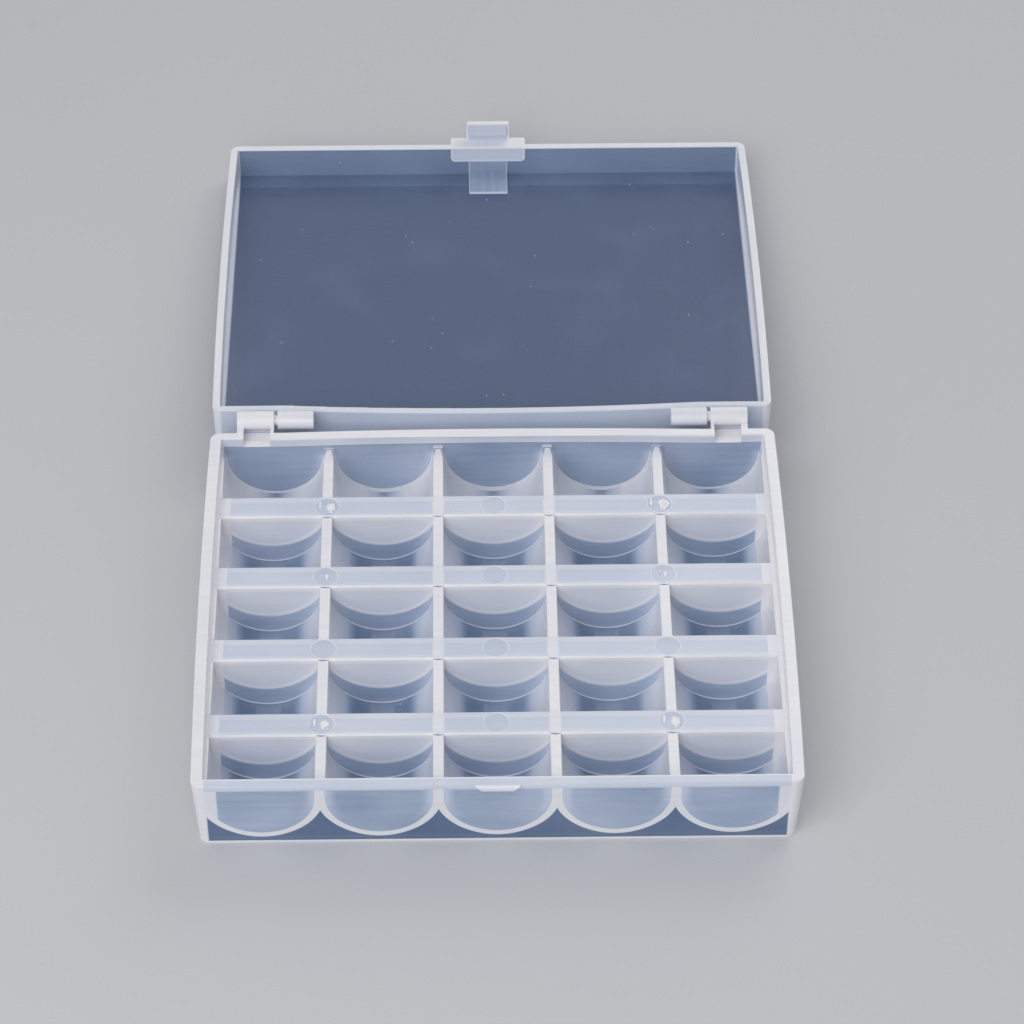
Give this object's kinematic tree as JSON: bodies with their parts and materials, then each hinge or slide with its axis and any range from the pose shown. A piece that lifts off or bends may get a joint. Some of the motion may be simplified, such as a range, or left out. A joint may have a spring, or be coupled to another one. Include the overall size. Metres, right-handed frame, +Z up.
{
  "type": "bobbin storage box",
  "caption": "Hinged clear plastic box whose tray has round-bottomed pockets for thread bobbins under a shallow lid with a snap latch.",
  "frame": {"origin": "on the surface the open box stands on, at the middle of its length and width", "axes": "+Z up, -Y towards the front of the tray, +Y towards the opened lid, +X to the right"},
  "size_m": [0.1206, 0.2106, 0.0195],
  "materials": {
    "clear_polypropylene": "clear natural polypropylene, slightly milky, moulded with a satin-gloss skin"
  },
  "bodies": {
    "tray": {"tray_walls": "clear_polypropylene", "tray_pockets_1": "clear_polypropylene", "tray_pockets_2": "clear_polypropylene", "tray_pockets_3": "clear_polypropylene", "tray_pockets_4": "clear_polypropylene", "tray_pockets_5": "clear_polypropylene", "tray_divider_1": "clear_polypropylene", "tray_divider_2": "clear_polypropylene", "tray_divider_3": "clear_polypropylene", "tray_divider_4": "clear_polypropylene"},
    "lid": {"lid": "clear_polypropylene"},
    "latch": {"latch_tab": "clear_polypropylene"}
  },
  "joints": [
    {"name": "lid_hinge", "type": "hinge", "parent": "tray", "child": "lid", "pos_m": [0, -0.00086, 0.0175], "axis": [1, 0, 0], "range_deg": [0, 185.14]},
    {"name": "latch_flex", "type": "hinge", "parent": "lid", "child": "latch", "pos_m": [0, 0.10485, 0.00789], "axis": [-1, 0, 0], "range_deg": [0, 12], "stiffness_Nm_per_rad": 0.3}
  ]
}
